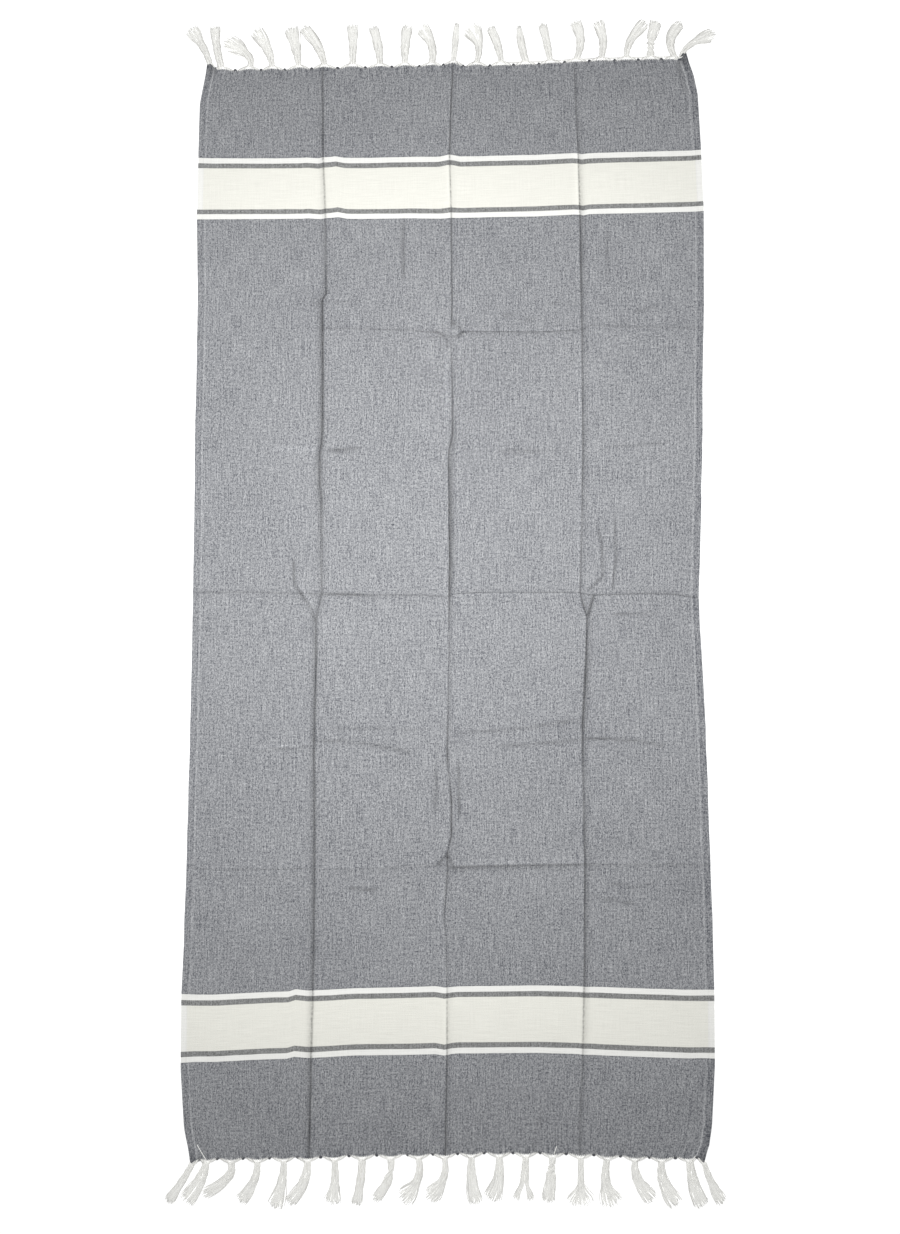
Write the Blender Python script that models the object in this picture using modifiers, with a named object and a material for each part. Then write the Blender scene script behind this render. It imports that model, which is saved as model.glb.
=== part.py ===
"""Hammam towel laid out flat, with its storage folds and two knotted fringes.

The cloth is one thin sheet: sharp lines stand across it where it was folded in four each way.
Each fringe is a narrow row of warp ends along the cloth's end, drawn out into knotted tassels.
X runs across the towel, Y along it and Z up. The underside rests at Z = 0.
"""

from collections import namedtuple
import math

import bmesh
import bpy
from mathutils import Vector

MM = 0.001

# Cloth
CLOTH_THICKNESS = 1.2 * MM
SIDE_MARGIN = 11 * MM  # the dense woven selvedge on each long side
END_MARGIN = 14 * MM  # the last stretch before the fringe, where the folds fade out
FOLD_LINES = (-12 * MM, -4 * MM, 0.0, 4 * MM, 12 * MM)  # lines of points on both sides of a fold
FOLD_REACH = 12 * MM  # a fold lifts the cloth this far to each side
SHOULDER = 4 * MM  # a fold that dips has its two low shoulders here
CROSSWISE_CUTS = 2  # lines of points inside each panel, across the towel
LENGTHWISE_CUTS = 4  # lines of points inside each panel, along the towel

# Fringe
GAP = 0.3 * MM  # between the cloth's last weft and the row of warp ends
NOTCH_DEPTH = 1.6 * MM  # the row of warp ends reaches this far out between two tassels
ROOT_DEPTH = 6.0 * MM  # and this far out at a tassel
NOTCH_PLACES = (0.4, 1.0, 1.6)  # places along a notch, in halves of its width
NOTCH_CLEARANCE = 0.2  # a place of the cloth's own end counts if it is this far from the others
ROOT_WIDTH = 8.4 * MM
FACES_OUT = 0.9  # how far a face of the row has to point outwards to be drawn out
NECK_LENGTH = 3.0 * MM
NECK_WIDTH = 6.6 * MM
NECK_HEIGHT = 2.4 * MM
KNOT_LENGTH = 4.0 * MM
KNOT_WIDTH = 9.0 * MM
KNOT_HEIGHT = 4.0 * MM
TOP_SHARE = 0.72  # a knot or strand is this much narrower on top than where it rests
BODY_WIDTH = 9.5 * MM
STRAND_HEIGHT = 3.4 * MM  # in the middle of a tassel
EDGE_DROP = 0.35  # the outer strands are lower by this share
STRAND_TIP_WIDTH = 1.5 * MM
STRAND_TIP_HEIGHT = 1.2 * MM
STRAND_GAP = 0.45 * MM
PART_SHARE = 0.06  # share of the whole length past the knot, where the strands have parted
BODY_SHARE = 0.4  # share of the length past the knot, where they still lie together
BRUSH_SHARE = 0.72  # and where they have begun to spread
BRUSH_HEIGHT = 0.8  # share of the body's height that is left there
BRUSH_SPREAD = 0.3  # share of the brush's spread that they have there
UNEVEN_TIPS = (0.0, 0.05, 0.025)  # in turn, the strands end short by this share of the length

# The long edges and the three lengthwise folds: their x at each place y along the towel, in mm
Length = namedtuple("Length", "y left fold_left fold_middle fold_right right")
LENGTHS = [
    Length(-907, -413, -223, -9, 209, 404),
    Length(-876, -419, -223, -8, 208, 411),
    Length(-845, -424, -222, -7, 209, 416),
    Length(-752, -429, -221, -5, 213, 422),
    Length(-640, -430, -220, -5, 214, 423),
    Length(-540, -427, -220, -6, 216, 422),
    Length(-441, -425, -220, -5, 217, 420),
    Length(-340, -424, -222, -2, 217, 418),
    Length(-230, -423, -223, -5, 218, 416),
    Length(-112, -422, -221, -4, 226, 412),
    Length(-33, -422, -220, -3, 226, 409),
    Length(-4, -422, -208, -2, 213, 408),
    Length(53, -422, -211, -2, 215, 411),
    Length(220, -423, -215, 0, 220, 418),
    Length(420, -422, -213, 1, 220, 421),
    Length(490, -422, -209, 3, 219, 424),
    Length(640, -426, -211, 2, 219, 426),
    Length(745, -425, -216, -1, 216, 424),
    Length(841, -424, -217, 2, 212, 420),
    Length(877, -418, -218, 4, 211, 413),
    Length(905, -412, -218, 5, 211, 401),
]

# The two ends and the three crosswise folds: their y at each place x across the towel, in mm
Width = namedtuple("Width", "x front fold_front fold_middle fold_back back")
WIDTHS = [
    Width(-430, -911, -445, 0, 443, 896),
    Width(-369, -906, -450, 0, 443, 893),
    Width(-286, -903, -449, -1, 444, 894),
    Width(-218, -902, -450, -3, 445, 897),
    Width(-144, -899, -449, -5, 443, 898),
    Width(-67, -898, -445, -5, 440, 900),
    Width(-6, -897, -441, -9, 430, 901),
    Width(5, -897, -447, -4, 431, 901),
    Width(54, -895, -445, -1, 439, 901),
    Width(143, -895, -443, -1, 440, 904),
    Width(212, -897, -442, -1, 441, 908),
    Width(228, -898, -442, -5, 449, 909),
    Width(316, -902, -442, -3, 446, 912),
    Width(370, -904, -442, -4, 445, 914),
    Width(425, -907, -442, -12, 445, 916),
]

# How far a fold stands up, in mm; below zero it dips between two low shoulders
LengthwiseRise = namedtuple("LengthwiseRise", "y fold_left fold_middle fold_right")
LENGTHWISE_RISES = [
    LengthwiseRise(-900, 1.6, 1.4, 1.3),
    LengthwiseRise(-445, 2.4, 1.6, 2.2),
    LengthwiseRise(-60, 2.2, 1.0, 1.7),
    LengthwiseRise(0, 1.0, 1.6, 1.0),
    LengthwiseRise(380, 2.4, 1.8, 1.8),
    LengthwiseRise(900, 1.5, 1.6, 1.4),
]
CrosswiseRise = namedtuple("CrosswiseRise", "x fold_front fold_middle fold_back")
CROSSWISE_RISES = [
    CrosswiseRise(-420, -0.7, 1.0, 0.2),
    CrosswiseRise(-230, -0.9, 1.2, 0.4),
    CrosswiseRise(-200, 0.8, 1.3, 1.0),
    CrosswiseRise(-15, 1.0, 1.0, 1.4),
    CrosswiseRise(15, 2.4, -1.3, -1.2),
    CrosswiseRise(205, 2.0, -1.4, -1.6),
    CrosswiseRise(235, 1.0, -1.4, 1.2),
    CrosswiseRise(410, 0.8, -1.2, 0.8),
]

# Each tassel in mm: its root's x, how far its middle and its tip lean sideways from there, how far
# its tip is from the cloth's end, and the width and number of strands of its brush
Tassel = namedtuple("Tassel", "root middle_lean tip_lean reach brush strands")
BACK_TASSELS = [
    Tassel(-408, -13, -28, 69, 16, 5),
    Tassel(-389, -8, -12, 78, 12, 4),
    Tassel(-340, -12, -32, 62, 19, 5),
    Tassel(-302, -11, -25, 68, 18, 5),
    Tassel(-257, -7, -13, 72, 19, 5),
    Tassel(-214, -12, -30, 72, 15, 5),
    Tassel(-166, 1, 1, 76, 16, 5),
    Tassel(-119, -5, -11, 70, 19, 5),
    Tassel(-77, 2, 5, 72, 19, 5),
    Tassel(-31, 3, -16, 69, 19, 5),
    Tassel(6, 3, 6, 73, 10, 4),
    Tassel(45, 1, -13, 71, 23, 6),
    Tassel(87, -9, -18, 70, 16, 5),
    Tassel(128, -7, -9, 69, 16, 5),
    Tassel(170, -7, -10, 69, 16, 5),
    Tassel(215, 5, 1, 69, 16, 5),
    Tassel(257, 4, -3, 71, 16, 5),
    Tassel(300, 12, 28, 66, 16, 5),
    Tassel(341, 5, 10, 66, 16, 5),
    Tassel(377, -4, 9, 60, 15, 5),
    Tassel(396, 18, 42, 40, 15, 5),
]
FRONT_TASSELS = [
    Tassel(-408, -16, -34, 55, 15, 5),
    Tassel(-386, -11, -29, 58, 19, 5),
    Tassel(-347, -2, -37, 52, 15, 5),
    Tassel(-305, -3, -23, 61, 20, 5),
    Tassel(-263, -6, -14, 72, 22, 6),
    Tassel(-226, -1, -18, 69, 19, 5),
    Tassel(-183, -1, -4, 68, 24, 6),
    Tassel(-139, -5, -10, 76, 16, 5),
    Tassel(-94, -2, -21, 66, 13, 4),
    Tassel(-50, -2, -17, 67, 28, 6),
    Tassel(-9, -3, -15, 67, 24, 6),
    Tassel(34, 2, 7, 73, 19, 5),
    Tassel(78, -1, -8, 69, 26, 6),
    Tassel(120, -2, -2, 69, 31, 6),
    Tassel(162, -3, -6, 72, 18, 5),
    Tassel(207, 0, -2, 72, 35, 6),
    Tassel(249, -1, 1, 74, 26, 6),
    Tassel(293, 3, 22, 66, 20, 5),
    Tassel(335, 2, 20, 70, 24, 6),
    Tassel(377, 6, 18, 73, 19, 5),
    Tassel(399, 12, 27, 64, 19, 5),
]

CLOTH_SMOOTH_ANGLE = math.radians(50)
FRINGE_SMOOTH_ANGLE = math.radians(35)

CLOTH_GREY = (0.36, 0.37, 0.39, 1.0)
FRINGE_CREAM = (0.80, 0.79, 0.74, 1.0)


def clear_scene():
    for thing in list(bpy.data.objects):
        bpy.data.objects.remove(thing, do_unlink=True)


def cotton(name, color):
    material = bpy.data.materials.new(name)
    material.use_nodes = True
    shader = material.node_tree.nodes["Principled BSDF"]
    shader.inputs["Base Color"].default_value = color
    shader.inputs["Roughness"].default_value = 0.9
    shader.inputs["Metallic"].default_value = 0.0
    return material


def add_piece(name, mesh, material, collection):
    piece = bpy.data.objects.new(name, mesh)
    piece.data.materials.append(material)
    collection.objects.link(piece)
    return piece


def read_table(table, place, columns):
    """The named columns of a table at a place, on straight lines between its rows, in metres."""
    place_mm = place / MM
    lower, upper = table[0], table[1]
    for lower, upper in zip(table, table[1:]):
        if place_mm < upper[0]:
            break
    share = (place_mm - lower[0]) / (upper[0] - lower[0])
    share = min(max(share, 0.0), 1.0)
    values = []
    for column in columns:
        start = getattr(lower, column)
        values.append((start + share * (getattr(upper, column) - start)) * MM)
    return values


# The cloth's net of points: each line across or along it belongs to an edge, a fold or a panel


def net_lines(edge_and_folds, margin, cuts):
    """Places from one edge to the other, as (place, number of its fold or None, offset from it)."""
    first, last = edge_and_folds[0], edge_and_folds[-1]
    folds = edge_and_folds[1:-1]
    lines = [(first, None, 0.0), (first + margin, None, 0.0)]
    panel_start = first + margin
    for number, fold in enumerate(folds):
        lines += panel_lines(panel_start, fold + FOLD_LINES[0], cuts)
        lines += [(fold + offset, number, offset) for offset in FOLD_LINES]
        panel_start = fold + FOLD_LINES[-1]
    lines += panel_lines(panel_start, last - margin, cuts)
    lines += [(last - margin, None, 0.0), (last, None, 0.0)]
    return lines


def panel_lines(start, end, cuts):
    step = (end - start) / (cuts + 1)
    return [(start + step * (cut + 1), None, 0.0) for cut in range(cuts)]


def lines_across(y):
    """The net's lines that run along the towel, where they pass a place y."""
    return net_lines(read_table(LENGTHS, y, Length._fields[1:]), SIDE_MARGIN, CROSSWISE_CUTS)


def lines_along(x):
    """The net's lines that run across the towel, where they pass a place x."""
    return net_lines(read_table(WIDTHS, x, Width._fields[1:]), END_MARGIN, LENGTHWISE_CUTS)


def fold_height(offset, rise):
    """A ridge with hollow sides, or two low shoulders beside a line that stays down."""
    nearness = max(0.0, 1.0 - abs(offset) / FOLD_REACH)
    if rise >= 0.0:
        return rise * nearness ** 2
    shoulder_nearness = 1.0 - SHOULDER / FOLD_REACH
    if nearness > shoulder_nearness:
        return -rise * (1.0 - nearness) / (1.0 - shoulder_nearness)
    return -rise * nearness / shoulder_nearness


def lift(table, place, fold, offset):
    """How far the fold that a net line belongs to lifts the cloth at a place along that fold."""
    if fold is None:
        return 0.0
    rise = read_table(table, place, [table[0]._fields[1 + fold]])[0]
    return fold_height(offset, rise)


def cloth_points():
    """Rows of points on the cloth's underside, from the front end to the back end."""
    columns = lines_across(0.0)
    rows = lines_along(0.0)
    x_by_row = [lines_across(row[0]) for row in rows]
    y_by_column = [lines_along(column[0]) for column in columns]
    points = []
    for j, (row_y, row_fold, row_offset) in enumerate(rows):
        at_end = j in (0, len(rows) - 1)
        line = []
        for i, (column_x, column_fold, column_offset) in enumerate(columns):
            height = max(
                lift(LENGTHWISE_RISES, row_y, column_fold, column_offset),
                lift(CROSSWISE_RISES, column_x, row_fold, row_offset),
            )
            line.append(Vector((x_by_row[j][i][0], y_by_column[i][j][0], 0.0 if at_end else height)))
        points.append(line)
    return points


def make_cloth(points, material, collection):
    """A grid laid on the net's points, thickened upwards so that its panels rest at Z = 0."""
    net = bmesh.new()
    bmesh.ops.create_grid(net, x_segments=len(points[0]) - 1, y_segments=len(points) - 1, size=1.0)
    net.verts.ensure_lookup_table()
    targets = [point for line in points for point in line]
    for vertex, target in zip(net.verts, targets):
        vertex.co = target
    mesh = bpy.data.meshes.new("cloth")
    net.to_mesh(mesh)
    net.free()
    cloth = add_piece("cloth", mesh, material, collection)
    solidify = cloth.modifiers.new("thickness", "SOLIDIFY")
    solidify.thickness = CLOTH_THICKNESS
    solidify.offset = 1.0
    mesh.shade_smooth()
    mesh.set_sharp_from_angle(angle=CLOTH_SMOOTH_ANGLE)
    return cloth


# A fringe is made pointing along +Y or -Y, which outward gives as 1 or -1


def edge_place(end_points, x):
    """The y of the cloth's end at x, on the straight lines between the cloth's own points."""
    start, stop = end_points[0], end_points[1]
    for start, stop in zip(end_points, end_points[1:]):
        if x < stop.x:
            break
    share = min(max((x - start.x) / (stop.x - start.x), 0.0), 1.0)
    return start.y + share * (stop.y - start.y)


def strip_stations(tassels, end_points):
    """Places along the row of warp ends, as (x, how far the row reaches out, place across a root).

    The place across a root runs from -0.5 to 0.5, and is 0 between the roots.
    """
    stations = []
    for number, tassel in enumerate(tassels):
        root = tassel.root * MM
        for strand in range(tassel.strands + 1):
            side = strand / tassel.strands - 0.5
            stations.append((root + ROOT_WIDTH * side, ROOT_DEPTH, side))
        if number + 1 < len(tassels):
            start = root + ROOT_WIDTH / 2
            stop = tassels[number + 1].root * MM - ROOT_WIDTH / 2
            stations += notch_stations(start, stop, end_points)
    return stations


def notch_stations(start, stop, end_points):
    """A rounded notch between two tassels, with a place at each point of the cloth's own end."""
    middle = (start + stop) / 2
    half = (stop - start) / 2
    places = {start + half * share for share in NOTCH_PLACES}
    clear = half * NOTCH_CLEARANCE
    for point in end_points:
        taken = places | {start, stop}
        if start < point.x < stop and all(abs(point.x - place) > clear for place in taken):
            places.add(point.x)
    stations = []
    for x in sorted(places):
        away = abs(x - middle) / half
        stations.append((x, NOTCH_DEPTH + (ROOT_DEPTH - NOTCH_DEPTH) * away ** 2, 0.0))
    return stations


def make_strip(tassels, end_points, outward):
    """The row of warp ends as a thin solid, with one outer face for each strand to come.

    Each point keeps its place across a root and whether it is on top, also when it is drawn out.
    """
    stations = strip_stations(tassels, end_points)
    strip = bmesh.new()
    across_root = strip.verts.layers.float.new("across_root")
    on_top = strip.verts.layers.int.new("on_top")
    bmesh.ops.create_grid(strip, x_segments=len(stations) - 1, y_segments=1, size=1.0)
    strip.verts.ensure_lookup_table()
    for number, (x, depth, side) in enumerate(stations):
        back = edge_place(end_points, x) + outward * GAP
        near, far = sorted((back, back + outward * (depth - GAP)))
        for vertex, y in ((strip.verts[number], near), (strip.verts[number + len(stations)], far)):
            vertex.co = (x, y, 0.0)
            vertex[across_root] = side
    raised = bmesh.ops.extrude_face_region(strip, geom=list(strip.faces))
    for item in raised["geom"]:
        if isinstance(item, bmesh.types.BMVert):
            item.co.z = CLOTH_THICKNESS
            item[on_top] = 1
    strip.normal_update()
    bmesh.ops.recalc_face_normals(strip, faces=list(strip.faces))
    strip.normal_update()
    return strip


def tassel_point(tassel, base_y, outward, share):
    """A point on a tassel's middle line and the direction across it, at a share of its length."""
    reach = tassel.reach * MM - ROOT_DEPTH
    middle = Vector((tassel.middle_lean * MM, outward * reach / 2))
    tip = Vector((tassel.tip_lean * MM, outward * reach))
    bend = middle * 2.0 - tip / 2.0
    place = bend * (2.0 * share * (1.0 - share)) + tip * share ** 2
    heading = (bend * (2.0 - 4.0 * share) + tip * (2.0 * share)).normalized()
    across = Vector((heading.y, -heading.x)) * outward
    return Vector((tassel.root * MM, base_y)) + place, across


def set_point(vertex, raised, centre, across, side, height):
    """Puts a point on a section that rests on the floor and is narrower on top."""
    place = centre + across * (side * (TOP_SHARE if raised else 1.0))
    vertex.co = (place.x, place.y, height if raised else 0.0)


def root_faces(strip, tassel, outward):
    """The outer faces of the row of warp ends at a tassel's root."""
    found = []
    for face in strip.faces:
        centre = face.calc_center_median()
        inside = abs(centre.x - tassel.root * MM) < ROOT_WIDTH / 2
        if inside and face.normal.y * outward > FACES_OUT:
            found.append(face)
    return found


def place_across(face, across_root):
    """Where a face lies across its tassel, from -0.5 to 0.5."""
    return sum(vertex[across_root] for vertex in face.verts) / len(face.verts)


def draw_out_tassel(strip, tassel, faces, end_points, outward):
    """Draws the root faces out to a neck and a knot, then each one alone to a strand."""
    across_root = strip.verts.layers.float["across_root"]
    on_top = strip.verts.layers.int["on_top"]
    base_y = edge_place(end_points, tassel.root * MM) + outward * ROOT_DEPTH
    length = tassel.reach * MM - ROOT_DEPTH
    sections = (
        (NECK_LENGTH, NECK_WIDTH, NECK_HEIGHT),
        (NECK_LENGTH + KNOT_LENGTH, KNOT_WIDTH, KNOT_HEIGHT),
    )
    for distance, width, height in sections:
        edges = dict.fromkeys(edge for face in faces for edge in face.edges)
        drawn = bmesh.ops.extrude_face_region(strip, geom=faces + list(edges))["geom"]
        faces = [item for item in drawn if isinstance(item, bmesh.types.BMFace)]
        centre, across = tassel_point(tassel, base_y, outward, distance / length)
        for item in drawn:
            if isinstance(item, bmesh.types.BMVert):
                set_point(item, item[on_top], centre, across, item[across_root] * width, height)
    draw_out_strands(strip, tassel, faces, base_y, outward)


def draw_out_strands(strip, tassel, faces, base_y, outward):
    """Each strand runs beside its neighbours, then spreads into the brush at the tip."""
    across_root = strip.verts.layers.float["across_root"]
    on_top = strip.verts.layers.int["on_top"]
    length = tassel.reach * MM - ROOT_DEPTH
    knot_share = (NECK_LENGTH + KNOT_LENGTH) / length
    body_share = knot_share + (1.0 - knot_share) * BODY_SHARE
    brush_share = knot_share + (1.0 - knot_share) * BRUSH_SHARE
    brush = tassel.brush * MM
    brush_start = BODY_WIDTH + (brush - BODY_WIDTH) * BRUSH_SPREAD
    strand_width = BODY_WIDTH / tassel.strands - STRAND_GAP
    from_left = sorted(faces, key=lambda face: place_across(face, across_root))
    for number, face in enumerate(from_left):
        side = place_across(face, across_root)
        body_height = STRAND_HEIGHT * (1.0 - EDGE_DROP * abs(side) * 2.0)
        tip_share = 1.0 - UNEVEN_TIPS[number % len(UNEVEN_TIPS)]
        sections = (
            (knot_share + PART_SHARE, BODY_WIDTH, strand_width, body_height),
            (body_share, BODY_WIDTH, strand_width, body_height),
            (brush_share, brush_start, strand_width, body_height * BRUSH_HEIGHT),
            (tip_share, brush, STRAND_TIP_WIDTH, STRAND_TIP_HEIGHT),
        )
        for share, spread, width, height in sections:
            face = bmesh.ops.extrude_discrete_faces(strip, faces=[face])["faces"][0]
            centre, across = tassel_point(tassel, base_y, outward, share)
            centre += across * (side * spread)
            for vertex in face.verts:
                half = width / 2 if vertex[across_root] > side else -width / 2
                set_point(vertex, vertex[on_top], centre, across, half, height)


def make_fringe(name, tassels, end_points, outward, material, collection):
    strip = make_strip(tassels, end_points, outward)
    roots = [root_faces(strip, tassel, outward) for tassel in tassels]
    for tassel, faces in zip(tassels, roots):
        draw_out_tassel(strip, tassel, faces, end_points, outward)
    strip.normal_update()
    bmesh.ops.recalc_face_normals(strip, faces=list(strip.faces))
    mesh = bpy.data.meshes.new(name)
    strip.to_mesh(mesh)
    strip.free()
    mesh.shade_smooth()
    mesh.set_sharp_from_angle(angle=FRINGE_SMOOTH_ANGLE)
    return add_piece(name, mesh, material, collection)


def centre_on_origin(pieces):
    """Moves all points so that the origin is at the bottom centre of the whole towel."""
    places = [vertex.co for piece in pieces for vertex in piece.data.vertices]
    shift = Vector((
        (min(place.x for place in places) + max(place.x for place in places)) / 2,
        (min(place.y for place in places) + max(place.y for place in places)) / 2,
        0.0,
    ))
    for place in places:
        place -= shift


def build():
    clear_scene()
    collection = bpy.data.collections.new("hammam_towel")
    bpy.context.scene.collection.children.link(collection)
    grey = cotton("cloth_grey", CLOTH_GREY)
    cream = cotton("fringe_cream", FRINGE_CREAM)
    points = cloth_points()
    cloth = make_cloth(points, grey, collection)
    fringe_back = make_fringe("fringe_back", BACK_TASSELS, points[-1], 1, cream, collection)
    fringe_front = make_fringe("fringe_front", FRONT_TASSELS, points[0], -1, cream, collection)
    centre_on_origin([cloth, fringe_back, fringe_front])


build()
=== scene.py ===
"""Hammam towel laid out flat on a pale floor, seen from above.

X runs across the towel, Y along it towards the back fringe, Z up. Metres, in the CAD frame.
"""

from collections import namedtuple
import math

import bpy
import numpy as np
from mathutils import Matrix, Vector, noise


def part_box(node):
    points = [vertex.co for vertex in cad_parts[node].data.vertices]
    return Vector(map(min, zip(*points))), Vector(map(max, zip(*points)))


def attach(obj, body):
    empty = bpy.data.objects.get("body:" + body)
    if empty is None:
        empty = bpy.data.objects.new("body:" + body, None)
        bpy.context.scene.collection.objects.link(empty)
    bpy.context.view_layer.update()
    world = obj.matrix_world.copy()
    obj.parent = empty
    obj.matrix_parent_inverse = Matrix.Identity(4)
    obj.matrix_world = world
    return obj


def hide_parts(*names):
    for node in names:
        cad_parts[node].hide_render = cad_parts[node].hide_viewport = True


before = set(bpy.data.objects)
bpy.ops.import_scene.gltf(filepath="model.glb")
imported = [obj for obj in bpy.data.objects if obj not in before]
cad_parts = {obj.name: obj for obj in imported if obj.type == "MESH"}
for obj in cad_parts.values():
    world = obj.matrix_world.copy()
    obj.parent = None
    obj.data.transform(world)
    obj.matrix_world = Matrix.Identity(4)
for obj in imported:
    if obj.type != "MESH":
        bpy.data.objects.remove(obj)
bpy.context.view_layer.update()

# ------------------------------------------------------------------------------------- Cloth
# One length of flat-woven cotton: cream warp threads run along the towel and a dark grey weft
# crosses them, which gives the grey melange ground. Cream weft makes the band and its stripes
# near each end. It lies as it was shaken out, with the sharp lines it was folded on in store.

MM = 0.001

# The roots of the tassels along each end, in mm
BACK_ROOTS = (
    -408, -389, -340, -302, -257, -214, -166, -119, -77, -31, 6,
    45, 87, 128, 170, 215, 257, 300, 341, 381, 396,
)
FRONT_ROOTS = (
    -408, -386, -347, -305, -263, -226, -183, -139, -94, -50, -9,
    34, 78, 120, 162, 207, 249, 293, 335, 380, 402,
)

# The first and last tassels draw the selvedges out to small dark horns. In mm: a horn stands at its
# full reach up to flat from the selvedge and is gone at wide. The shade is how much darker it is.
Corner = namedtuple("Corner", "side outward flat wide reach shade")
CORNERS = [
    Corner(-1, 1, 2, 18, 11, 0.52),
    Corner(1, 1, 5, 15, 11, 0.52),
    Corner(-1, -1, 0, 16, 2, 0.24),
    Corner(1, -1, 3, 10, 6, 0.42),
]

CLOTH_THICKNESS = 1.2 * MM
TABLE_LEFT = -429.61 * MM  # the tables' own place for the cloth's leftmost and foremost point
TABLE_FRONT = -910.34 * MM
FOLD_STEPS = (0.0, 0.8, 1.7, 2.8, 4.2, 6.2, 9.0, 13.0)  # mm, lines of the net on both sides of a fold
EDGE_STEPS = (0.0, 2.5, 6.0, 10.5, 13.0)  # mm, and inwards from each edge
PANEL_STEP = 8.6 * MM  # about how far apart its lines are in the panels
END_FADE = 40 * MM  # the folds flatten out over this stretch before the fringe
END_BULGE = 3.6 * MM  # the cloth's end is drawn out to each tassel's root
BULGE_REACH = 21 * MM  # about half the way from one root to the next
BRIDGED_FROM = 60  # mm, right of this the back end runs straighter, with loose threads outside it
BRIDGED_BULGE = 0.45  # and keeps this share of its bulges
HORN_STRETCH = 30 * MM  # the cloth is drawn out to a horn over this stretch before its end
HORN_DARK = 16 * MM  # and darkens over this one
WAVE_HEIGHT = 1.3 * MM  # the panels lie in slow, shallow waves
WAVE_LENGTH = 150 * MM
WAVE_SLICE = 3.0  # of the noise that they are taken from
SHOULDER = 5 * MM  # a fold that dips has its low shoulders here
MINOR_HEIGHT = 0.7 * MM  # of the lesser creases
# Limits of the painted shade and light on the cloth
DARKEST_SHADE = -0.62
LIGHTEST_SHADE = 0.25

# The long edges and the lengthwise folds: their x at each place y along the towel, in mm
Length = namedtuple("Length", "y left fold_left fold_middle fold_right right")
LENGTHS = [
    Length(-907, -410, -223, -8, 206, 405),
    Length(-897, -411, -223, -8, 206, 402),
    Length(-876, -415, -223, -7, 205, 411),
    Length(-845, -422, -222, -7, 206, 416),
    Length(-752, -429, -221, -5, 211, 422),
    Length(-640, -430, -219, -5, 214, 423),
    Length(-560, -427, -218, -7, 216, 422),
    Length(-526, -427, -218, -10, 216, 422),
    Length(-453, -425, -218, -4, 217, 420),
    Length(-427, -425, -218, -5, 217, 420),
    Length(-397, -425, -218, 2, 216, 419),
    Length(-339, -424, -219, 2, 216, 418),
    Length(-310, -424, -219, -1, 216, 418),
    Length(-283, -423, -220, -4, 215, 417),
    Length(-257, -423, -220, -5, 215, 416),
    Length(-221, -423, -220, -4, 215, 416),
    Length(-112, -422, -218, -2, 222, 412),
    Length(-45, -422, -219, -2, 224, 409),
    Length(-25, -422, -214, -2, 218, 409),
    Length(-4, -422, -210, -2, 213, 408),
    Length(53, -422, -211, -1, 215, 411),
    Length(150, -422, -212, -2, 218, 415),
    Length(170, -422, -215, -2, 218, 415),
    Length(225, -423, -215, -3, 220, 418),
    Length(237, -423, -212, -2, 220, 418),
    Length(262, -423, -211, 4, 220, 419),
    Length(340, -422, -211, 4, 220, 420),
    Length(420, -422, -212, 2, 220, 423),
    Length(482, -422, -213, 3, 219, 425),
    Length(494, -422, -206, 3, 219, 425),
    Length(640, -426, -209, 2, 218, 427),
    Length(745, -425, -214, -1, 216, 424),
    Length(841, -424, -215, 2, 212, 420),
    Length(877, -418, -216, 4, 211, 413),
    Length(905, -412, -216, 5, 211, 401),
]

# The ends, the crosswise folds and the middle lines of the two bands: their y at each place x, in mm
Width = namedtuple("Width", "x front band_front fold_front fold_across fold_back band_back back")
WIDTHS = [
    Width(-430, -912, -703, -448, 0, 443, 684, 897),
    Width(-400, -904, -703, -451, 0, 443, 684, 893),
    Width(-369, -904, -703, -453, 0, 443, 684, 893),
    Width(-286, -903, -698, -452, -1, 444, 684, 894),
    Width(-250, -902, -697, -451, -2, 444, 684, 896),
    Width(-238, -902, -693, -450, -2, 444, 685, 896),
    Width(-218, -902, -695, -451, -3, 445, 683, 897),
    Width(-190, -901, -694, -450, -4, 443, 688, 897),
    Width(-174, -900, -693, -449, -4, 443, 684, 898),
    Width(-144, -899, -691, -449, -5, 443, 684, 898),
    Width(-67, -898, -690, -445, -5, 440, 686, 900),
    Width(-20, -897, -689, -442, -6, 436, 686, 901),
    Width(-6, -897, -692, -441, -9, 430, 689, 904),
    Width(5, -897, -689, -447, -4, 431, 689, 904),
    Width(16, -896, -688, -446, -3, 439, 687, 901),
    Width(54, -895, -688, -445, -1, 439, 688, 901),
    Width(143, -895, -687, -443, -1, 438, 690, 904),
    Width(205, -897, -689, -442, -1, 441, 693, 908),
    Width(218, -897, -690, -442, -3, 444, 690, 908),
    Width(228, -898, -690, -442, -5, 449, 692, 909),
    Width(245, -899, -691, -442, -5, 448, 693, 910),
    Width(316, -902, -694, -442, -3, 446, 695, 912),
    Width(370, -903, -696, -442, -4, 445, 697, 913),
    Width(392, -902, -696, -442, -8, 445, 698, 912),
    Width(425, -906, -696, -442, -12, 445, 701, 917),
]
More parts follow.
